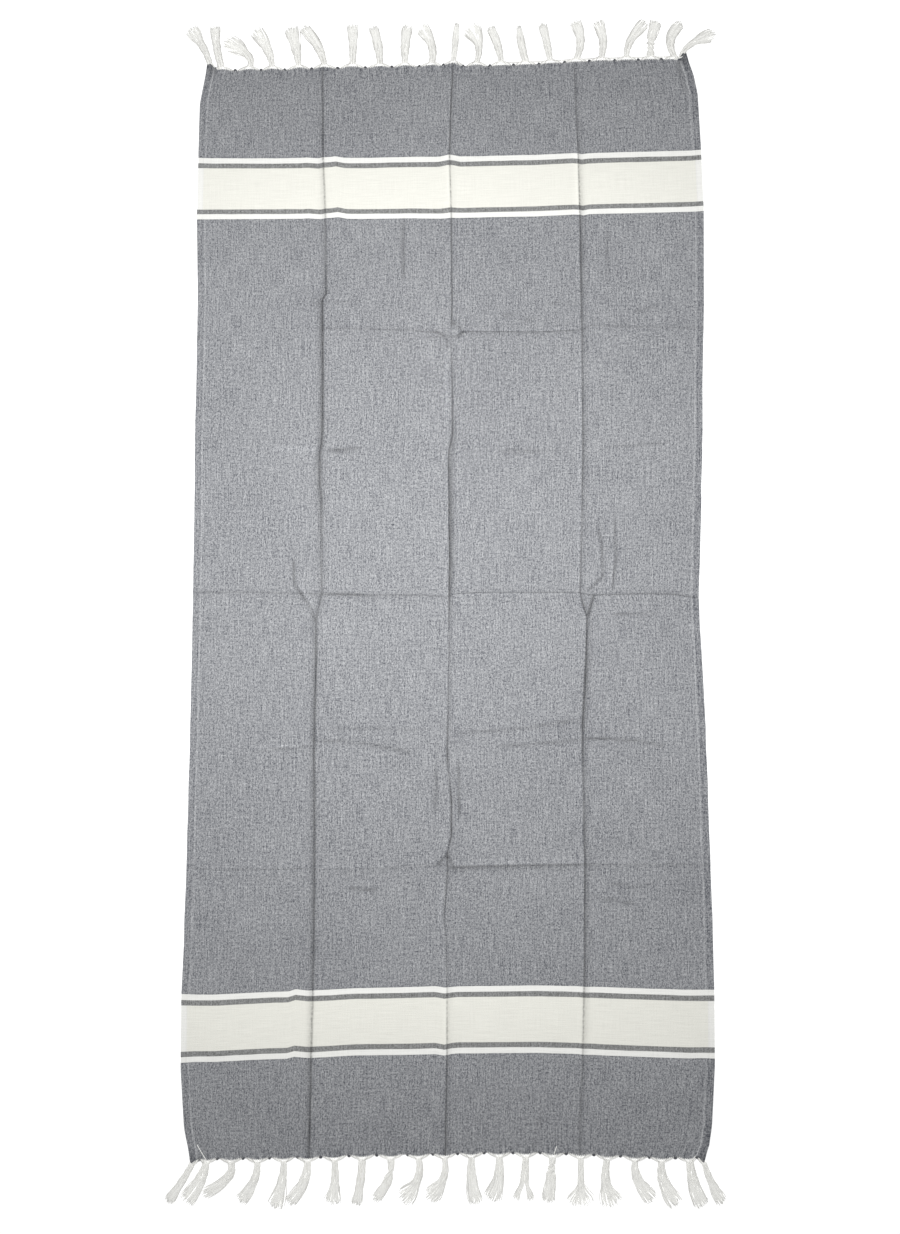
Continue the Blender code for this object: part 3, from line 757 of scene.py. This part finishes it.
# The tassels from left to right, one for each root. In mm: how far the middle and the tip lean
# sideways from the root, how far the tip is from the cloth's end, and how wide the stem, the neck
# where it begins to fray and the brush are. Then the share of its length at which it frays, how
# often its plies cross, and how far they part at the tip, in mm.
Tassel = namedtuple("Tassel", "middle_lean tip_lean reach stem neck brush fray crossings fork")
BACK_TASSELS = [
    Tassel(-14, -36, 76, 9, 13, 27, 0.62, 0, 0),
    Tassel(-8, -12, 81, 11, 13, 16, 0.60, 0, 2),
    Tassel(-7, -48, 54, 9, 13, 32, 0.60, 0, 0),
    Tassel(-10, -31, 74, 8, 15, 26, 0.45, 0, 0),
    Tassel(-6, -15, 76, 8, 16, 25, 0.45, 0, 0),
    Tassel(-12, -38, 75, 9, 15, 20, 0.50, 0, 0),
    Tassel(1, 0, 79, 10, 13, 20, 0.50, 0, 0),
    Tassel(-4, -13, 74, 9, 16, 16, 0.60, 0, 0),
    Tassel(1, 5, 76, 9, 16, 18, 0.55, 0, 0),
    Tassel(-1, -20, 72, 10, 14, 22, 0.55, 0, 3),
    Tassel(3, 6, 75, 8, 11, 9, 0.60, 0, 0),
    Tassel(3, -13, 73, 8, 13, 29, 0.55, 0, 5),
    Tassel(-7, -19, 71, 8, 14, 15, 0.55, 0, 0),
    Tassel(-7, -11, 71, 12, 13, 9, 0.72, 0, 0),
    Tassel(-6, -13, 72, 9, 13, 16, 0.50, 0, 0),
    Tassel(7, -3, 75, 9, 14, 20, 0.50, 0, 0),
    Tassel(3, -7, 73, 9, 14, 20, 0.50, 0, 0),
    Tassel(9, 36, 70, 8, 13, 21, 0.50, 0, 0),
    Tassel(2, 12, 71, 12, 15, 20, 0.55, 3, 0),
    Tassel(-5, 15, 67, 9, 15, 19, 0.55, 0, 0),
    Tassel(19, 58, 48, 8, 11, 26, 0.62, 0, 0),
]
FRONT_TASSELS = [
    Tassel(-18, -39, 66, 9, 11, 17, 0.50, 0, 0),
    Tassel(-11, -34, 67, 10, 18, 24, 0.50, 0, 3),
    Tassel(-6, -45, 56, 10, 14, 19, 0.55, 0, 0),
    Tassel(-6, -28, 69, 9, 13, 22, 0.55, 0, 0),
    Tassel(-4, -16, 79, 9, 14, 26, 0.50, 0, 0),
    Tassel(-6, -30, 72, 10, 15, 20, 0.50, 0, 0),
    Tassel(1, -4, 75, 9, 13, 26, 0.60, 0, 0),
    Tassel(-3, -10, 78, 11, 13, 17, 0.60, 0, 0),
    Tassel(-4, -27, 71, 10, 14, 17, 0.60, 1, 0),
    Tassel(-2, -28, 74, 9, 13, 32, 0.60, 0, 0),
    Tassel(-2, -27, 71, 8, 12, 30, 0.62, 0, 0),
    Tassel(1, 9, 80, 9, 15, 23, 0.45, 0, 0),
    Tassel(-2, -14, 75, 10, 15, 28, 0.45, 0, 0),
    Tassel(-2, -4, 75, 10, 13, 20, 0.60, 0, 14),
    Tassel(-3, -7, 77, 10, 16, 22, 0.45, 2, 0),
    Tassel(0, 0, 84, 9, 10, 46, 0.66, 0, 0),
    Tassel(-2, 12, 80, 9, 15, 36, 0.60, 0, 0),
    Tassel(5, 30, 69, 9, 15, 25, 0.50, 0, 0),
    Tassel(4, 26, 75, 9, 17, 28, 0.50, 0, 0),
    Tassel(6, 21, 77, 11, 17, 25, 0.50, 0, 0),
    Tassel(12, 30, 71, 8, 11, 21, 0.45, 0, 0),
]

# Both ends of each slipped thread, in mm
Slipped = namedtuple("Slipped", "start_x start_y end_x end_y")
SLIPPED_THREADS = [
    Slipped(-401, -883, -386, -907),
    Slipped(169, -885, 165, -897),
    Slipped(389, -900, 382, -908),
]


def smooth_step(values, start, stop):
    """From 0 at the start to 1 at the stop, with soft ends."""
    share = np.clip((values - start) / (stop - start), 0, 1)
    return share * share * (3 - 2 * share)


def end_line(outward, x):
    """The y of the cloth's end between two tassels, in the frame."""
    column = "back" if outward > 0 else "front"
    return read(WIDTHS, column, x - towel_shift.x) + towel_shift.y


def horn(outward, x):
    """How far a corner's horn stands out past the cloth's end at x, in the frame."""
    reach = 0.0 * x
    for corner in CORNERS:
        if corner.outward == outward:
            edge = read(LENGTHS, "left" if corner.side < 0 else "right", float(outward))
            share = horn_share(corner, np.abs(x - towel_shift.x - edge))
            reach = reach + corner.reach * MM * share
    return reach


def root_depth(outward, x):
    """How far out from the cloth's end a tassel begins, past its corner's horn if it has one."""
    return np.maximum(ROOT_DEPTH, horn(outward, x) + HORN_GRIP)


def on_bend(tassel, root, outward, share, side):
    """Where points lie that are a share along a tassel and some way beside its middle line.

    That line is a bend from the root through the tassel's middle and its tip.
    """
    root_x = root * MM + towel_shift.x
    depth = root_depth(outward, root_x)
    length = tassel.reach * MM - depth
    middle = np.array((tassel.middle_lean * MM, outward * length / 2))
    tip = np.array((tassel.tip_lean * MM, outward * length))
    bend = middle * 2 - tip / 2
    path = bend * (2 * share * (1 - share))[..., None] + tip * (share ** 2)[..., None]
    heading = bend * (2 - 4 * share)[..., None] + tip * (2 * share)[..., None]
    heading /= np.linalg.norm(heading, axis=-1, keepdims=True)
    root_y = end_line(outward, root_x) + outward * depth
    x = root_x + path[..., 0] + outward * heading[..., 1] * side
    y = root_y + path[..., 1] - outward * heading[..., 0] * side
    return x, y


def tassel_lines(tassel, root, outward, chance):
    """The middle lines of a tassel's threads, with a row for each, their radii and their painted shade.
    """
    index = np.arange(THREADS)
    ply = np.where(index % 2 == 0, -1.0, 1.0)[:, None]
    layer = np.sqrt((index // 2 + 0.5) / (THREADS / 2))[:, None]
    turn = (index * THREAD_TURN + chance.uniform(-0.3, 0.3, THREADS))[:, None]
    progress = np.linspace(0, 1, RINGS)[None, :]
    share = progress * np.ones((THREADS, 1))

    # In the stem each thread winds within its ply, and the two plies lie side by side or cross
    crossing = math.pi * tassel.crossings * smooth_step(share, 0.05, tassel.fray)
    own_turn = turn + PLY_TWIST * share * ply
    place = 0.5 * ply * np.cos(crossing) + 0.5 * layer * np.cos(own_turn)
    lift = 1 + 0.5 * ply * np.sin(crossing) + layer * np.sin(own_turn)

    # In the brush they lie side by side, waver, sink to the floor and end unevenly
    at_fray = place[:, round(tassel.fray * (RINGS - 1))]
    order = np.argsort(np.argsort(at_fray))
    lane = ((order + 0.5) / THREADS * 2 - 1 + chance.normal(0, 0.04, THREADS))[:, None]
    lane[chance.random(THREADS) < STRAY_CHANCE] *= STRAY_REACH
    opening = smooth_step(share, tassel.fray - 0.15, tassel.fray + 0.2)
    width = np.interp(share, (0, tassel.fray, 0.96), (tassel.stem, tassel.neck, tassel.brush)) * MM
    roundness = 0.04 + 0.35 * max(0.0, (tassel.brush - tassel.neck) / tassel.reach - 0.1)
    share = share * (1 - chance.uniform(0, UNEVEN_TIPS, (THREADS, 1)) - roundness * lane ** 2)
    swing = share * chance.uniform(8, 17, (THREADS, 1)) + chance.uniform(0, 6, (THREADS, 1))
    waver = WAVER * np.sin(swing)
    part = tassel.fork / 2 * MM * np.sign(at_fray)[:, None] * smooth_step(share, tassel.fray - 0.1, 1.0)
    room = width / 2 - THREAD_RADIUS
    side = room * (STEM_FULLNESS * place * (1 - opening) + lane * opening) + (waver + part) * opening
    brush_lift = chance.uniform(0, 1, (THREADS, 1)) * BRUSH_HEIGHT * (1.1 - 0.6 * share)
    height = PLY_HEIGHT * np.sqrt(tassel.stem * MM / width) * lift * (1 - opening) + brush_lift * opening
    radius = THREAD_RADIUS * chance.uniform(0.85, 1.1, (THREADS, 1)) * (1 + 0.3 * opening)
    radius *= 1 - 0.55 * smooth_step(progress, TIP_START, 1.0)

    # Painted shade on the sides of the plies and of the brush, which turn away from the light, more so
    # at the back, and less painted shade on the tips, which lie in the open, more so at the front
    strength = 1.0 if outward > 0 else 0.5
    ply_side = strength * np.maximum(0.8 * np.abs(layer * np.cos(own_turn)) ** 3, np.abs(place) ** 3)
    brush_side = 0.9 * np.abs(lane) ** 5
    brush_shade = strength * np.maximum(chance.uniform(-0.5, 0.32, (THREADS, 1)), brush_side)
    shade = np.clip(ply_side * (1 - opening) + brush_shade * opening, 0, 1)
    paler = 0.35 if outward > 0 else 0.7
    shade *= 1 - paler * smooth_step(share, TIP_START, 0.97)
    x, y = on_bend(tassel, root, outward, share, side)
    return np.stack((x, y, np.maximum(height, 0) + radius), axis=-1), radius, shade


def edge_lines(root, neighbour, outward, chance):
    """The warp threads that run from under the last weft to a root, from one side of it."""
    root_x = root * MM + towel_shift.x
    reach = (neighbour - root) / 2 * MM
    share = np.linspace(0, 1, EDGE_RINGS)[None, :]
    place = ((np.arange(EDGE_THREADS) + 0.15) / EDGE_THREADS)[::-1][:, None]
    start_x = root_x + reach * place
    bulge = end_bulge((root, neighbour), outward, start_x - towel_shift.x)
    start_y = end_line(outward, start_x) + outward * (bulge + horn(outward, start_x) - UNDER_WEFT)
    side = np.sign(reach)
    end_x = root_x + side * (0.6 + 3.4 * place) * MM
    depth = root_depth(outward, root_x)
    end_y = end_line(outward, root_x) + outward * (depth + (2.6 - 2.0 * place) * MM)
    ease = share ** 1.15
    x = start_x + (end_x - start_x) * ease + side * 0.6 * MM * np.sin(math.pi * share)
    y = start_y + (end_y - start_y) * share + outward * 0.5 * MM * np.sin(math.pi * share)
    z = EDGE_HEIGHT + share * (0.3 + 1.8 * chance.random((EDGE_THREADS, 1))) * MM
    radius = np.full((EDGE_THREADS, EDGE_RINGS), EDGE_RADIUS)
    # Painted shade on the outermost thread and the one between the two bundles
    shade = np.where(np.isin(np.arange(EDGE_THREADS), EDGE_SHADED), 0.9, 0.1)[:, None] + 0 * x
    return np.stack((x, y, np.broadcast_to(z, x.shape)), axis=-1), radius, shade


def bridge_lines(root, following, outward, chance):
    """Loose warp threads that run from one root straight to the next, outside the knot between."""
    share = np.linspace(0, 1, EDGE_RINGS) * np.ones((BRIDGE_THREADS, 1))
    number = np.arange(BRIDGE_THREADS)[:, None]
    x = (root + (following - root) * share) * MM + towel_shift.x
    sag = BRIDGE_SAG + BRIDGE_SPACING * number + chance.uniform(-0.2, 0.2, (BRIDGE_THREADS, 1))
    y = end_line(outward, x) + outward * (ROOT_DEPTH - sag * MM * np.sin(math.pi * share) ** 0.7)
    z = (0.8 + 0.3 * number + 0 * share) * MM
    # The first loose thread gets painted shade
    return np.stack((x, y, z), axis=-1), np.full_like(x, THREAD_RADIUS), 0.8 * (number == 0) + 0 * x


def slipped_line(thread):
    """A warp thread that has slipped out of the weave and lies on the cloth, down to its root."""
    share = np.linspace(0, 1, EDGE_RINGS)[None, :]
    x = (thread.start_x + (thread.end_x - thread.start_x) * share) * MM + towel_shift.x
    y = (thread.start_y + (thread.end_y - thread.start_y) * share) * MM + towel_shift.y
    z = CLOTH_THICKNESS + (0.5 + 0.5 * np.sin(math.pi * share)) * MM
    return np.stack((x, y, z), axis=-1), np.full_like(x, 1.3 * THREAD_RADIUS), 0 * x


def yarn(name, bundles, chance):
    """One mesh of round threads, from bundles of (middle lines, radii, painted shade)."""
    points, faces, maps, tones, shades = [], [], [], [], []
    first = 0
    for lines, radius, shade in bundles:
        count, rings = radius.shape
        along = np.gradient(lines, axis=1)
        along /= np.linalg.norm(along, axis=-1, keepdims=True)
        across = np.cross(along, (0, 0, 1))
        across /= np.linalg.norm(across, axis=-1, keepdims=True)
        above = np.cross(across, along)
        angle = 2 * math.pi * np.arange(SIDES) / SIDES
        ring = across[:, :, None] * np.cos(angle)[:, None] + above[:, :, None] * np.sin(angle)[:, None]
        points.append((lines[:, :, None] + radius[:, :, None, None] * ring).reshape(-1, 3))
        runs = np.linalg.norm(np.diff(lines, axis=1, prepend=lines[:, :1]), axis=-1)
        length = np.cumsum(runs, axis=1)
        tones.append(np.repeat(chance.normal(0, 1, count), rings * SIDES))
        shades.append(np.repeat(shade.reshape(-1), SIDES))
        # Each thread's map has the way around it, from 0 to 1, and the length along it, in metres
        for thread in range(count):
            base = first + thread * rings * SIDES
            for step in range(rings - 1):
                low = base + step * SIDES
                high = low + SIDES
                near, far = length[thread, step:step + 2]
                for side in range(SIDES):
                    other = (side + 1) % SIDES
                    faces.append((low + side, high + side, high + other, low + other))
                    here, there = side / SIDES, (side + 1) / SIDES
                    maps += [here, near, here, far, there, far, there, near]
            faces.append(tuple(base + side for side in range(SIDES)))
            faces.append(tuple(high + side for side in reversed(range(SIDES))))
            maps += [0.0, 0.0] * (2 * SIDES)
        first += count * rings * SIDES
    mesh = bpy.data.meshes.new(name)
    mesh.from_pydata(np.concatenate(points).tolist(), [], faces)
    mesh.uv_layers.new(name="thread").data.foreach_set("uv", maps)
    mesh.attributes.new("tone", "FLOAT", "POINT").data.foreach_set("value", np.concatenate(tones))
    mesh.attributes.new("shade", "FLOAT", "POINT").data.foreach_set("value", np.concatenate(shades))
    mesh.shade_smooth()
    piece = bpy.data.objects.new(name, mesh)
    bpy.context.scene.collection.objects.link(piece)
    return piece


THREAD_CREAM = (0.98, 0.98, 0.95, 1.0)
# The colour of the painted shade on the threads
THREAD_SHADOW = (0.44, 0.435, 0.415, 1.0)
TWIST_LENGTH = 2.4 * MM
YARN_PATCHES = 160.0  # in a metre
# Painted light: the yarn glows a little, though it is no lamp
YARN_PAINTED_GLOW = 0.115

fringe_material, start = new_material("cotton_yarn_cream")
thread_place = start.node("ShaderNodeUVMap", {"uv_map": "thread"})
around = start.node("ShaderNodeSeparateXYZ", {}, {"Vector": thread_place})
lengthwise_place = around.also("Y")
tone = start.attribute("tone")
plied = (around + lengthwise_place * (1 / TWIST_LENGTH)).wave(0.5)
patches = start.patches(YARN_PATCHES)
# The threads' painted shade mixes their cream towards the painted shadow colour
in_shade = start.attribute("shade")
cream_share = (1.0 - in_shade * 0.9 + tone * 0.10 + plied * 0.06 + (patches - 0.5) * 0.4).kept(0.0, 1.0)
color = cream_share.mix(THREAD_SHADOW, THREAD_CREAM)
finish_material(start, color, 0.9, plied.bump(0.6, 0.2 * MM), sheen=0.1, glow=YARN_PAINTED_GLOW)

for name, node, roots, tassels, outward in (
    ("fringe_back_yarn", "fringe_back", BACK_ROOTS, BACK_TASSELS, 1),
    ("fringe_front_yarn", "fringe_front", FRONT_ROOTS, FRONT_TASSELS, -1),
):
    chance = np.random.default_rng(seed=21)
    bundles = [tassel_lines(tassel, root, outward, chance) for tassel, root in zip(tassels, roots)]
    for root, following in zip(roots, roots[1:]):
        bundles.append(edge_lines(root, following, outward, chance))
        bundles.append(edge_lines(following, root, outward, chance))
        if outward > 0 and root > BRIDGED_FROM:
            bundles.append(bridge_lines(root, following, outward, chance))
    if outward < 0:
        bundles += [slipped_line(thread) for thread in SLIPPED_THREADS]
    fringe = yarn(name, bundles, chance)
    fringe.data.materials.append(fringe_material)
    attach(fringe, "root")
    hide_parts(node)

# ------------------------------------------------------------------------------- Weft ends
# Between two tassels the last dark weft threads stand free of the warp and bunch into a small
# dark knot, where the warp parts to either side. The dark knot also stands in for the shade in that gap.

# Their places along each end, in mm: there is none between the first two tassels
BACK_KNOTS = (
    -365, -321, -281, -235, -191, -144, -99, -52, -11, 22, 68, 108, 151, 195, 237, 280, 320, 359, 391,
)
FRONT_KNOTS = (
    -369, -328, -286, -241, -205, -160, -116, -67, -27, 12, 54, 100, 143, 184, 228, 270, 316, 357, 391,
)
KNOT_THREADS = 3
KNOT_LENGTH = 5.0 * MM
KNOT_RADIUS = 0.8 * MM
KNOT_SPACING = 1.1  # mm, from one thread to the next
KNOT_BOW = 1.2  # mm, their ends lie this much nearer to the cloth
WEFT_PATCHES = 900.0  # in a metre
WEFT_SHADOW = (0.045, 0.047, 0.055, 1.0)
WEFT_LIGHT = (0.16, 0.165, 0.18, 1.0)

weft_material, start = new_material("cotton_yarn_dark")
patches = start.patches(WEFT_PATCHES)
color = patches.mix(WEFT_SHADOW, WEFT_LIGHT)
finish_material(start, color, 0.9, patches.bump(0.5, 0.2 * MM), sheen=0.05)

for name, knots, outward in (("weft_knots_back", BACK_KNOTS, 1), ("weft_knots_front", FRONT_KNOTS, -1)):
    chance = np.random.default_rng(seed=5)
    bundles = []
    share = np.linspace(-1, 1, EDGE_RINGS)[None, :]
    for knot in knots:
        middle = knot * MM + towel_shift.x
        base = end_line(outward, middle)
        number = np.arange(KNOT_THREADS)[:, None]
        x = middle + share * KNOT_LENGTH / 2 * chance.uniform(0.8, 1.2, (KNOT_THREADS, 1))
        y = base + outward * (-0.2 + number * KNOT_SPACING - KNOT_BOW * share ** 2) * MM
        z = (1.1 + 0.5 * (1 - share ** 2) - 0.2 * number) * MM
        radius = KNOT_RADIUS * (1 - 0.4 * share ** 2) * np.ones((KNOT_THREADS, 1))
        bundles.append((np.stack((x, y, z), axis=-1), radius, 0 * radius))
    piece = yarn(name, bundles, chance)
    piece.data.materials.append(weft_material)
    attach(piece, "root")

# ------------------------------------------------------------------------------ As it is laid
# The whole towel, cloth and fringes together, was woven 85 cm wide and lies flat on the floor,
# a plain pale surface that is not part of it.

FLOOR_SIZE = 30.0
FLOOR_DROP = 0.3 * MM  # the floor lies a hair under the cloth
FLOOR_GLOW = 0.45  # it stands for the even light of a studio

bpy.ops.object.select_all(action="DESELECT")
bpy.ops.mesh.primitive_plane_add(size=FLOOR_SIZE, location=(0.0, 0.0, -FLOOR_DROP))
floor = bpy.context.object
floor.name = "floor"
floor_material, start = new_material("floor_white")
surface = start.node("ShaderNodeBsdfPrincipled", {}, {
    "Base Color": (0.90, 0.90, 0.90, 1.0),
    "Roughness": 0.8,
    "Emission Color": (1.0, 1.0, 1.0, 1.0),
    "Emission Strength": FLOOR_GLOW,
})
start.node("ShaderNodeOutputMaterial", {}, {"Surface": surface})
floor.data.materials.append(floor_material)

# ---------------------------------------------------------------------------- Light and camera
# One wide soft lamp hangs over the middle of the towel, a little to the left and the back. The
# camera looks almost straight down, tipped a few degrees, with the front end nearer.

LAMP_PLACE = (-0.07, 0.12, 1.2)
LAMP_SIZE = 0.6
LAMP_WATTS = 16.4
SKY_STRENGTH = 0.42
LENS = 50.0
TILT = math.radians(6.3)
CAMERA_DISTANCE = 2.811
AIM = Vector((0.0, -0.041, 0.0))  # the image's centre on the floor, in the tables' own place

lamp_data = bpy.data.lights.new("lamp", "AREA")
lamp_data.shape = "DISK"
lamp_data.size = LAMP_SIZE
lamp_data.energy = LAMP_WATTS
lamp = bpy.data.objects.new("lamp", lamp_data)
lamp.location = LAMP_PLACE
lamp.visible_camera = False
bpy.context.scene.collection.objects.link(lamp)

sky = bpy.data.worlds.new("sky")
sky.use_nodes = True
sky.node_tree.nodes["Background"].inputs["Color"].default_value = (1.0, 1.0, 1.0, 1.0)
sky.node_tree.nodes["Background"].inputs["Strength"].default_value = SKY_STRENGTH
bpy.context.scene.world = sky
bpy.context.scene.view_settings.view_transform = "Standard"

camera_data = bpy.data.cameras.new("camera")
camera_data.lens = LENS
camera = bpy.data.objects.new("camera", camera_data)
backwards = Vector((0.0, -math.sin(TILT), math.cos(TILT)))
camera.location = AIM + towel_shift + backwards * CAMERA_DISTANCE
camera.rotation_euler = (TILT, 0.0, 0.0)
bpy.context.scene.collection.objects.link(camera)
bpy.context.scene.camera = camera
